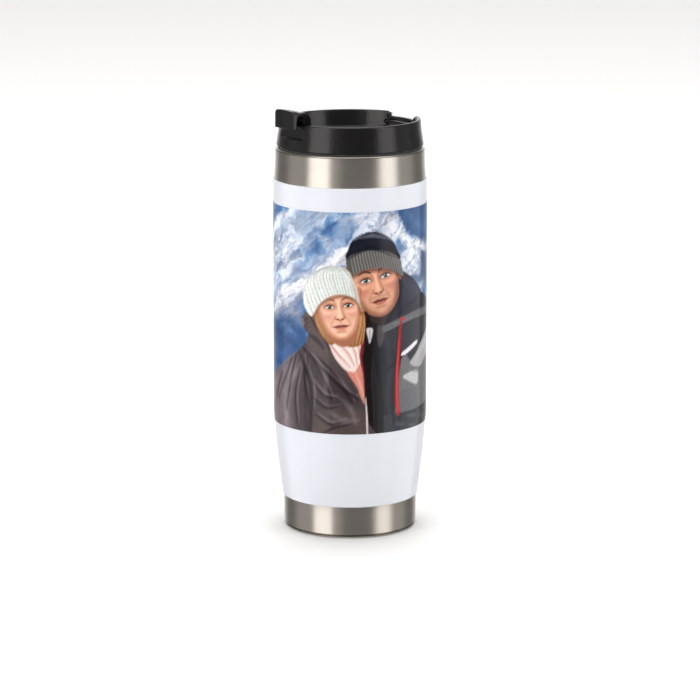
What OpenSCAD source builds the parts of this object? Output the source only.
// Insulated travel mug: a double-walled steel cup with a coated sleeve and a
// push-in lid that a flip lever opens. Millimetres, +Z up. The origin is the
// centre of the base's underside. Lid parts are drawn with the lever's tab
// along +X, and lid_frame() turns them to the tab's bearing.

/* [Cup] */
// Height of the steel lip above the surface the mug stands on
lip_z = 186.6; // [180:0.1:195]
// Outer radius of the coated sleeve where it is straight
sleeve_r = 37.1; // [36.6:0.05:38]
// Outer radius of the sleeve at its lower edge
sleeve_foot_r = 33.0; // [32.6:0.05:34]
// Height of the bare steel band at the base
band_h = 15.7; // [12:0.1:20]
// Height of the sleeve's upper edge, where the bare steel collar starts
sleeve_top_z = 171.8; // [165:0.1:173]
// Height above which the sleeve is a straight cylinder
taper_top_z = 58; // [52:1:70]
// Sharpness of the taper: 1 is a cone, 2 is a parabola
taper_power = 1.42; // [1.2:0.01:1.8]
// Outer radius of the steel collar just under the lip
collar_r = 35.95; // [35.8:0.05:36.1]

/* [Walls] */
// Thickness of each steel wall
steel_t = 0.5; // [0.4:0.05:0.6]
// Thickness of the coated sleeve
sleeve_t = 0.55; // [0.45:0.05:0.6]
// Evacuated gap between the outer shell and the inner liner
vacuum_gap = 2.6; // [2.4:0.05:2.8]
// Height of the liner's floor above the surface the mug stands on
liner_floor_z = 9; // [8.8:0.1:12]

/* [Printed film] */
// Height of the printed film's lower edge
film_low_z = 53; // [45:0.5:60]
// Height of the printed film's upper edge
film_high_z = 160.5; // [140:0.5:164]
// Thickness of the printed film
film_t = 0.12; // [0.1:0.01:0.2]

/* [Lid] */
// Bearing of the lever's tab, in degrees from +X towards +Y
tab_bearing = 214.5; // [180:0.5:270]
// Height of the lid's rim above the steel lip
rim_rise = 13.85; // [13.6:0.05:14.4]
// Outer radius of the lid at its rim
rim_r = 34.1; // [34:0.05:34.3]
// Outer radius of the lid's lower band
skirt_r = 35.5; // [35.3:0.05:35.7]
// Depth of the recess inside the rim
recess_depth = 8.45; // [8.2:0.05:8.6]
// Distance from the lid's axis to the flat hollow for a fingertip under the tab
scoop_x = 32.9; // [32.8:0.05:33.3]

/* [Lever] */
// Width of the lever's thumb tab
tab_w = 16; // [15:0.5:16.5]
// Width of the lever's arm
arm_w = 13.4; // [12:0.1:14]
// Length of the lever's hinge barrel
barrel_len = 19; // [18:0.1:19.2]
// Radius of the hinge pin
pin_r = 0.8; // [0.7:0.05:0.9]
// Radius of the drinking hole
drink_r = 5.8; // [5:0.1:5.8]
// Distance of the drinking hole from the lid's axis, towards the tab
drink_x = 17; // [15:0.5:18]

/* [Hidden] */
$fn = 96;

// Clearances: between pieces that touch, and around the turning pin.
fit = 0.05;
pin_play = 0.05;

// Cup
foot_z = 0.3;
foot_round = 1.6;
foot_lip_r = 30.3;
taper_step = 3;
collar_top_z = lip_z - 2.4;
lip_round = 0.8;
mouth_z = lip_z - 6.6;
liner_top_r = 33.9;
liner_corner = 6;
mouth_r = sleeve_r - sleeve_t - fit - 2 * steel_t - vacuum_gap;
bottom_z = 4;

// Lid heights
seal_z = lip_z + fit;
seal_h = 0.85;
flange_z = seal_z + seal_h + fit;
flange_h = 1.5;
skirt_z = flange_z + flange_h + fit;
rim_z = lip_z + rim_rise;
floor_z = rim_z - recess_depth;
ceiling_z = floor_z - 1.4;
insert_z = lip_z - 11.1;
insert_floor_t = 1.6;

// Lid radii
rim_in_r = 32.2;
rim_in_round = 0.7;
rim_round = 1.0;
recess_low_r = 30.8;
recess_corner = 1;
flange_r = 34.0;
insert_r = mouth_r - 1.0;
insert_in_r = insert_r - 2.5;
groove_r = insert_r - 1.25;
groove_low_z = insert_z + 3.2;
groove_h = 4.6;
tongue_in_r = 31.3;
tongue_out_r = 32.9;
tongue_h = 1.4;
scoop_low_z = rim_z - 7.2;
scoop_high_z = rim_z - 1.3;

// Lever
hinge_x = -29.6;
hinge_z = rim_z - 5.4;
barrel_r = 1.5;
arm_end_x = -29;
arm_low_z = floor_z + 0.6;
arm_h = 1.8;
arm_top_z = arm_low_z + arm_h;
riser_in_x = 27;
riser_out_x = 31.6;
rim_gap = 0.4;
under_z = rim_z + 1.45;
under_rise = 2.2;
strap_z = rim_z + 5.65;
strap_r = 4.2;
tab_in_x = 35.8;
tab_out_x = 38.9;
tab_r = 38.6;
tab_low_z = rim_z - 2.3;
tab_top_z = rim_z + 6.75;
tab_crown_r = 60;
tab_corner = 2.4;
notch_z = rim_z - 2.4;
notch_low_w = 20.8;
notch_high_w = 25;
pocket_half_w = barrel_len / 2 + 0.3;
pin_reach = pocket_half_w + 2.7;
boss_x = -31.4;
boss_z = rim_z - 2.1;
boss_y = 9.8;
boss_w = 2.4;
boss_r = 1.5;

vent_x = -8;
vent_r = 0.9;

steel = [0.66, 0.62, 0.57];
black = [0.09, 0.09, 0.09];
silicone = [0.2, 0.2, 0.2];

// Outer radius of the coated sleeve at height z.
function sleeve_at(z) = z >= taper_top_z ? sleeve_r
    : sleeve_r - (sleeve_r - sleeve_foot_r)
      * pow((taper_top_z - z) / (taper_top_z - band_h), taper_power);

// Outer radius of the steel shell under the sleeve and in the base band.
function shell_at(z) = sleeve_at(max(z, band_h)) - sleeve_t - fit - (z < band_h ? 0.1 * (1 - z / band_h) : 0);

// Heights at which a wall's path bends: even steps up the taper, then the far end.
function heights(low, high) = let (bend = min(max(low, taper_top_z), high), n = ceil((bend - low) / taper_step))
    concat([for (i = [0 : n]) n == 0 ? low : low + (bend - low) * i / n], high > bend ? [high] : []);

function arc(cx, cz, rx, rz, from, to, n = 10) =
    [for (i = [0 : n]) let (a = from + (to - from) * i / n) [cx + rx * cos(a), cz + rz * sin(a)]];

function reversed(list) = [for (i = [len(list) - 1 : -1 : 0]) list[i]];

// Path of the outer shell's outside, or of its inside when t is the wall.
function shell_path(t) = concat(
    [[foot_lip_r, foot_z + t]],
    arc(shell_at(foot_z) - foot_round, foot_z + foot_round, foot_round - t, foot_round - t, -90, 0, 6),
    [for (z = heights(band_h / 4, sleeve_top_z)) [shell_at(z) - t, z]],
    [[shell_at(sleeve_top_z) - 0.15 - t, sleeve_top_z + 3.2]],
    [[collar_r + 0.15 - t, sleeve_top_z + 6.5]],
    arc(collar_r - lip_round, lip_z - lip_round, lip_round - t, lip_round - t, 0, 90, 8),
    [[liner_top_r + 0.35, lip_z - t]]);

// Path of the liner's outside from the axis up to the mouth, offset inwards by t.
function liner_path(t) = let (gap = steel_t + vacuum_gap + t, low = liner_floor_z - steel_t)
    let (r_low = shell_at(low + liner_corner) - gap)
    concat([[0, low + t]],
        arc(r_low + t - liner_corner, low + liner_corner, liner_corner - t, liner_corner - t, -90, 0, 8),
        [for (z = heights(low + liner_corner + 2, taper_top_z)) [shell_at(z) - gap, z]],
        [[mouth_r + steel_t - t, mouth_z]],
        [[liner_top_r - t + 0.2, lip_z - 1.2]],
        [[liner_top_r - t + 0.2, lip_z - 0.2]]);

// A sheet revolved between an outside path and an inside path.
module revolved_sheet(outside, inside) {
    rotate_extrude() polygon(concat(outside, reversed(inside)));
}

module ring(r_in, r_out, z, h) {
    translate([0, 0, z]) difference() {
        cylinder(r = r_out, h = h);
        translate([0, 0, -1]) cylinder(r = r_in, h = h + 2);
    }
}

// A cylinder along Y, centred on the lever's plane.
module cross_cylinder(r, len, x, z) {
    translate([x, len / 2, z]) rotate([90, 0, 0]) cylinder(r = r, h = len);
}

module lid_frame() {
    rotate([0, 0, tab_bearing]) children();
}

// Outer steel wall: base band, taper, body and collar, rolled in at the lip.
module outer_shell() {
    color(steel) revolved_sheet(shell_path(0), shell_path(steel_t));
}

// Inner steel cup that holds the drink, flared at its mouth to meet the lip.
module inner_liner() {
    color([0.72, 0.7, 0.67]) revolved_sheet(liner_path(0), liner_path(steel_t));
}

// Welded disc that closes the vacuum space, with the pump-out dimple.
module outer_bottom() {
    r = shell_at(bottom_z) - steel_t - 2 * fit;
    color(steel) difference() {
        union() {
            translate([0, 0, bottom_z]) cylinder(r = r, h = steel_t);
            ring(r - steel_t, r, bottom_z - 1.6, 1.7);
            translate([0, 0, bottom_z]) cylinder(r = 6, h = 1.8);
        }
        translate([0, 0, bottom_z - 1]) cylinder(r = 5.5, h = 2.3);
        translate([0, 0, bottom_z]) cylinder(r = 0.8, h = 3);
    }
}

// Solder bead that seals the pump-out hole.
module vacuum_seal() {
    color([0.75, 0.75, 0.72]) union() {
        translate([0, 0, bottom_z + 0.45]) cylinder(r = 2.6, h = 0.8);
        translate([0, 0, bottom_z + 1]) cylinder(r = 0.75, h = 0.9);
    }
}

// Pellet that soaks up gas left in the vacuum space.
module getter() {
    color([0.35, 0.35, 0.36]) translate([14, 0, liner_floor_z - steel_t - 1.7]) cylinder(r = 4, h = 1.6);
}

// Spot-welded cap that holds the getter against the liner.
module getter_clip() {
    low = liner_floor_z - steel_t - 2.05;
    color([0.7, 0.7, 0.7]) translate([14, 0, low]) difference() {
        union() {
            cylinder(r = 4.4, h = 2);
            translate([0, 0, 1.7]) cylinder(r = 6, h = 0.3);
        }
        translate([0, 0, 0.3]) cylinder(r = 4.1, h = 3);
    }
}

// Copper foil around the liner, which reflects heat back.
module foil_wrap() {
    low = liner_floor_z + liner_corner + 3;
    r_gap = steel_t + vacuum_gap;
    path = [for (z = heights(low, mouth_z - 4)) [shell_at(z) - r_gap, z]];
    outside = [for (p = path) [p[0] + 0.3, p[1]]];
    inside = [for (p = path) [p[0] + 0.15, p[1]]];
    color([0.72, 0.42, 0.25]) revolved_sheet(outside, inside);
}

// Cover under the base that hides the welded disc.
module base_cover() {
    color([0.6, 0.58, 0.55]) union() {
        translate([0, 0, 1.1]) cylinder(r = foot_lip_r - fit, h = 0.6);
        ring(foot_lip_r - 1.3, foot_lip_r - fit, 1.6, bottom_z - 1.6 - fit);
    }
}

// Non-slip pad that the mug stands on.
module base_pad() {
    color(silicone) union() {
        cylinder(r1 = foot_lip_r - 1.1, r2 = foot_lip_r - 0.7, h = 0.5);
        translate([0, 0, 0.5]) cylinder(r = foot_lip_r - 0.7, h = 0.55);
    }
}

// White coated sleeve bonded over the steel shell.
module wrap_sleeve() {
    z_list = heights(band_h, sleeve_top_z);
    edge = 0.25;
    outside = concat([[sleeve_at(band_h) - edge, band_h]],
        [for (z = z_list) [sleeve_at(z), min(max(z, band_h + edge), sleeve_top_z - edge)]],
        [[sleeve_r - edge, sleeve_top_z]]);
    inside = [for (z = z_list) [sleeve_at(z) - sleeve_t, z]];
    color([0.93, 0.94, 0.96]) revolved_sheet(outside, inside);
}

// Printed film that wraps the sleeve's straight part.
module printed_film() {
    path = [for (z = heights(film_low_z, film_high_z)) [sleeve_at(z), z]];
    outside = [for (p = path) [p[0] + 0.02 + film_t, p[1]]];
    inside = [for (p = path) [p[0] + 0.02, p[1]]];
    color([0.45, 0.6, 0.8]) revolved_sheet(outside, inside);
}

// The lid's outer wall, its rim and the floor of its recess, without cut-outs.
module lid_solid() {
    edge = 0.6;
    outside = concat(arc(skirt_r - edge, flange_z + edge, edge, edge, -90, 0, 4),
        [[skirt_r - 0.35, lip_z + 3.7], [rim_r + 0.65, lip_z + 6.3], [rim_r + 0.25, lip_z + 8.9]],
        [[rim_r + 0.05, lip_z + 11.4]],
        arc(rim_r - rim_round, rim_z - rim_round, rim_round, rim_round, 0, 90, 6));
    inside = concat(
        arc(rim_in_r + rim_in_round, rim_z - rim_in_round, rim_in_round, rim_in_round, 90, 180, 4),
        arc(recess_low_r - recess_corner, floor_z + recess_corner, recess_corner, recess_corner, 0, -90, 4));
    rotate_extrude() polygon(concat(
        [[0, ceiling_z], [insert_in_r, ceiling_z], [insert_in_r + 0.4, skirt_z]],
        [[flange_r + fit, skirt_z], [flange_r + fit, flange_z]],
        outside, inside, [[0, floor_z]]));
    // Spout tube and vent tube, which run down through the insert
    translate([drink_x, 0, insert_z + insert_floor_t + fit])
        cylinder(r = drink_r + 1.2, h = ceiling_z - insert_z - insert_floor_t);
    translate([vent_x, 0, insert_z + fit]) cylinder(r = vent_r + 1.3, h = ceiling_z - insert_z);
}

// Flat hollow under the tab for a fingertip.
module finger_scoop() {
    translate([0, 25, 0]) rotate([90, 0, 0]) linear_extrude(50) polygon([
        [scoop_x + 0.3, scoop_high_z], [scoop_x, scoop_low_z + 0.8], [scoop_x + 0.3, scoop_low_z],
        [40, scoop_low_z - 1.2], [40, scoop_high_z + 0.6]]);
}

// Notch through the rim above the hinge, with sloping ends.
module hinge_notch() {
    translate([-40, 0, 0]) rotate([90, 0, 90]) linear_extrude(20) polygon([
        [-notch_low_w / 2, notch_z], [notch_low_w / 2, notch_z],
        [notch_high_w / 2, rim_z + 1], [-notch_high_w / 2, rim_z + 1]]);
}

// A dimpled boss at each end of the notch; the open lever rests between them.
module notch_bosses() {
    intersection() {
        for (side = [-1, 1]) translate([boss_x, side * boss_y, boss_z]) rotate([-90 * side, 0, 0]) difference() {
            cylinder(r = boss_r, h = boss_w);
            translate([0, 0, -1]) cylinder(r = boss_r / 2, h = 1.9);
        }
        cylinder(r = rim_r - 0.5, h = rim_z);
    }
}

// Lid shell: rim, recess, hinge notch and pocket, spout and vent tubes.
module lid_body() {
    color(black) lid_frame() difference() {
        union() {
            difference() {
                lid_solid();
                finger_scoop();
                hinge_notch();
                // Hinge pocket, which lets the barrel's ends into the rim's wall
                cross_cylinder(barrel_r + 0.25, 2 * pocket_half_w, hinge_x, hinge_z);
            }
            notch_bosses();
        }
        // Groove for the insert's weld tongue
        ring(tongue_in_r - 0.1, tongue_out_r + 0.1, skirt_z - 1, tongue_h + 1.3);
        // Pin bore through the wall at one end of the pocket, blind at the other
        translate([hinge_x, pin_reach, hinge_z]) rotate([90, 0, 0])
            cylinder(r = pin_r + 0.02, h = pin_reach + 20);
        translate([drink_x, 0, insert_z - 1]) cylinder(r = drink_r, h = rim_z - insert_z);
        translate([vent_x, 0, insert_z - 1]) cylinder(r = vent_r, h = rim_z - insert_z);
    }
}

// Lower half of the lid: flange, weld tongue, gasket groove and floor.
module lid_insert() {
    collar_in_r = drink_r + 2.1;
    floor_top = insert_z + insert_floor_t;
    color([0.12, 0.12, 0.12]) lid_frame() difference() {
        union() {
            translate([0, 0, insert_z]) cylinder(r1 = insert_r - 0.8, r2 = insert_r, h = 1.2);
            ring(insert_in_r, insert_r, insert_z + 1, flange_z - insert_z);
            translate([0, 0, insert_z + 1]) cylinder(r = insert_r - 1, h = insert_floor_t - 1);
            ring(insert_in_r, flange_r, flange_z, flange_h);
            ring(tongue_in_r, tongue_out_r, flange_z + 1, flange_h + tongue_h - 1);
            translate([drink_x, 0, insert_z]) cylinder(r = collar_in_r + 1.2, h = insert_floor_t + 4);
        }
        ring(groove_r, insert_r + 1, groove_low_z, groove_h);
        translate([drink_x, 0, floor_top]) cylinder(r = collar_in_r, h = 10);
        translate([drink_x, 0, insert_z - 1]) cylinder(r = drink_r, h = 10);
        translate([vent_x, 0, insert_z - 1]) cylinder(r = vent_r + 1.35, h = 10);
    }
}

// Foam disc inside the lid.
module lid_insulation() {
    low = insert_z + insert_floor_t + fit;
    color([0.9, 0.9, 0.88]) lid_frame() difference() {
        translate([0, 0, low]) cylinder(r = insert_in_r - fit, h = ceiling_z - low - fit);
        translate([drink_x, 0, low - 1]) cylinder(r = drink_r + 3.4, h = 30);
        translate([vent_x, 0, low - 1]) cylinder(r = vent_r + 1.35, h = 30);
    }
}

// Silicone gasket with two lips that seal against the liner.
module lid_gasket() {
    low = groove_low_z + fit;
    h = groove_h - 2 * fit;
    body_r = insert_r + 0.1;
    lip_r = mouth_r - fit;
    function fin(z) = [[body_r, z - 0.6], [lip_r - 0.15, z], [lip_r, z + 0.25], [body_r, z + 0.5]];
    color(silicone) rotate_extrude() polygon(concat(
        [[groove_r + fit, low], [body_r, low]],
        fin(low + h * 0.27), fin(low + h * 0.73),
        [[body_r, low + h], [groove_r + fit, low + h]]));
}

// Silicone ring between the steel lip and the lid's flange.
module lip_seal() {
    color(silicone) ring(mouth_r + 0.4, skirt_r - 0.8, seal_z, seal_h);
}

// O-ring between the spout tube and the collar on the insert's floor.
module spout_seal() {
    color(silicone) lid_frame() translate([drink_x, 0, insert_z + insert_floor_t + 2]) rotate_extrude()
        translate([drink_r + 1.65, 0]) circle(r = 0.42, $fn = 32);
}

// Steel pin that the lever turns on, held in the rim's wall at both ends.
module hinge_pin() {
    color([0.75, 0.74, 0.72]) lid_frame() cross_cylinder(pin_r, 2 * (pin_reach - 0.2), hinge_x, hinge_z);
}

// Side outline of the lever: flat arm, riser, strap over the rim and tab.
module lever_outline() {
    foot_r = 2.4;
    top = tab_top_z + 0.25;
    polygon(concat(
        [[arm_end_x, arm_low_z]],
        arc(riser_out_x - foot_r, arm_low_z + foot_r, foot_r, foot_r, -90, 0, 8),
        arc((riser_out_x + tab_in_x) / 2, under_z, (tab_in_x - riser_out_x) / 2, under_rise, 180, 0, 12),
        arc((tab_in_x + tab_out_x) / 2, tab_low_z + 0.8, (tab_out_x - tab_in_x) / 2, 0.8, 180, 360, 10),
        arc(tab_out_x - 2.2, top - 2.2, 2.2, 2.2, 0, 90, 8),
        [[tab_in_x - 0.4, top - 0.75], [tab_in_x - 2, strap_z]],
        arc(riser_in_x + strap_r, strap_z - strap_r, strap_r, strap_r, 90, 180, 12),
        arc(riser_in_x - 2.2, arm_top_z + 2.2, 2.2, 2.2, 0, -90, 6),
        [[arm_end_x, arm_top_z]]));
}

// Front outline of the lever: its width, with a slight crown and round upper corners.
module lever_front() {
    half = tab_w / 2;
    spread = asin((half - tab_corner) / tab_crown_r);
    shoulder_z = tab_top_z - tab_crown_r * (1 - cos(spread)) - tab_corner;
    polygon(concat(
        [[-half, arm_low_z - 1], [half, arm_low_z - 1]],
        arc(half - tab_corner, shoulder_z, tab_corner, tab_corner, 0, 80, 8),
        [for (a = [spread : -spread / 3 : -spread])
            [tab_crown_r * sin(a), tab_top_z - tab_crown_r * (1 - cos(a))]],
        arc(tab_corner - half, shoulder_z, tab_corner, tab_corner, 100, 180, 8)));
}

// Space around the rim's wall that the lever stays clear of on the tab's side.
module rim_clearance() {
    rotate([0, 0, -30]) rotate_extrude(angle = 60) polygon([
        [recess_low_r - rim_gap, floor_z], [recess_low_r - rim_gap, floor_z + recess_corner],
        [rim_in_r - rim_gap, rim_z - rim_in_round], [rim_in_r, rim_z + rim_gap],
        [rim_r, rim_z + rim_gap], [rim_r + 1, floor_z]]);
}

// Plan outline of the lever: a narrow arm that widens through the strap to the tab.
module lever_plan() {
    arm = arm_w / 2;
    tab = tab_w / 2;
    polygon([[-50, -arm], [riser_in_x, -arm], [tab_in_x, -tab], [50, -tab],
        [50, tab], [tab_in_x, tab], [riser_in_x, arm], [-50, arm]]);
}

// Flip lever: hinge barrel, arm across the recess and thumb tab over the rim.
module lever() {
    color(black) lid_frame() difference() {
        union() {
            intersection() {
                translate([0, tab_w / 2 + 1, 0]) rotate([90, 0, 0]) linear_extrude(tab_w + 2) lever_outline();
                linear_extrude(rim_z + 20) lever_plan();
                cylinder(r = tab_r, h = rim_z + 20);
                translate([-50, 0, 0]) rotate([90, 0, 90]) linear_extrude(100) lever_front();
            }
            cross_cylinder(barrel_r, barrel_len, hinge_x, hinge_z);
            // Web between the barrel and the arm
            translate([arm_end_x, -arm_w / 2, arm_low_z]) cube([2, arm_w, hinge_z - 0.2 - arm_low_z]);
            // Mushroom stud that the drinking plug snaps onto
            translate([drink_x, 0, arm_low_z - 2.4]) cylinder(r = 2, h = 2.5);
            translate([drink_x, 0, arm_low_z - 3.3]) cylinder(r = 2.7, h = 0.9);
        }
        rim_clearance();
        cross_cylinder(pin_r + pin_play, barrel_len + 2, hinge_x, hinge_z);
        // Stepped hole that the vent plug is pulled into
        translate([vent_x, 0, arm_low_z - 1]) cylinder(r = 1.2, h = 6);
        translate([vent_x, 0, arm_top_z - 0.8]) cylinder(r = 2.3, h = 2);
    }
}

// Silicone plug that closes the drinking hole.
module drink_plug() {
    top = arm_low_z - fit;
    color(silicone) lid_frame() translate([drink_x, 0, 0]) difference() {
        union() {
            translate([0, 0, floor_z + fit]) cylinder(r = drink_r + 1.4, h = top - floor_z - fit);
            translate([0, 0, floor_z - 3.6]) cylinder(r1 = drink_r - 0.8, r2 = drink_r - 0.1, h = 3.7);
        }
        translate([0, 0, arm_low_z - 3.4]) cylinder(r = 2.75, h = 1.05);
        translate([0, 0, arm_low_z - 3]) cylinder(r = 2.05, h = 4);
    }
}

// Silicone pip that closes the vent hole.
module vent_plug() {
    color(silicone) lid_frame() translate([vent_x, 0, 0]) union() {
        translate([0, 0, floor_z - 0.8]) cylinder(r1 = vent_r - 0.35, r2 = vent_r - 0.1, h = 0.9);
        translate([0, 0, floor_z + fit]) cylinder(r = 2.2, h = arm_low_z - floor_z - 2 * fit);
        translate([0, 0, arm_low_z - 0.1]) cylinder(r = 1.15, h = arm_h - 0.5);
        translate([0, 0, arm_top_z - 0.75]) cylinder(r = 2.2, h = 0.7);
    }
}

outer_shell();
inner_liner();
outer_bottom();
vacuum_seal();
getter();
getter_clip();
foil_wrap();
base_cover();
base_pad();
wrap_sleeve();
printed_film();
lid_body();
lid_insert();
lid_insulation();
lid_gasket();
lip_seal();
spout_seal();
hinge_pin();
lever();
drink_plug();
vent_plug();
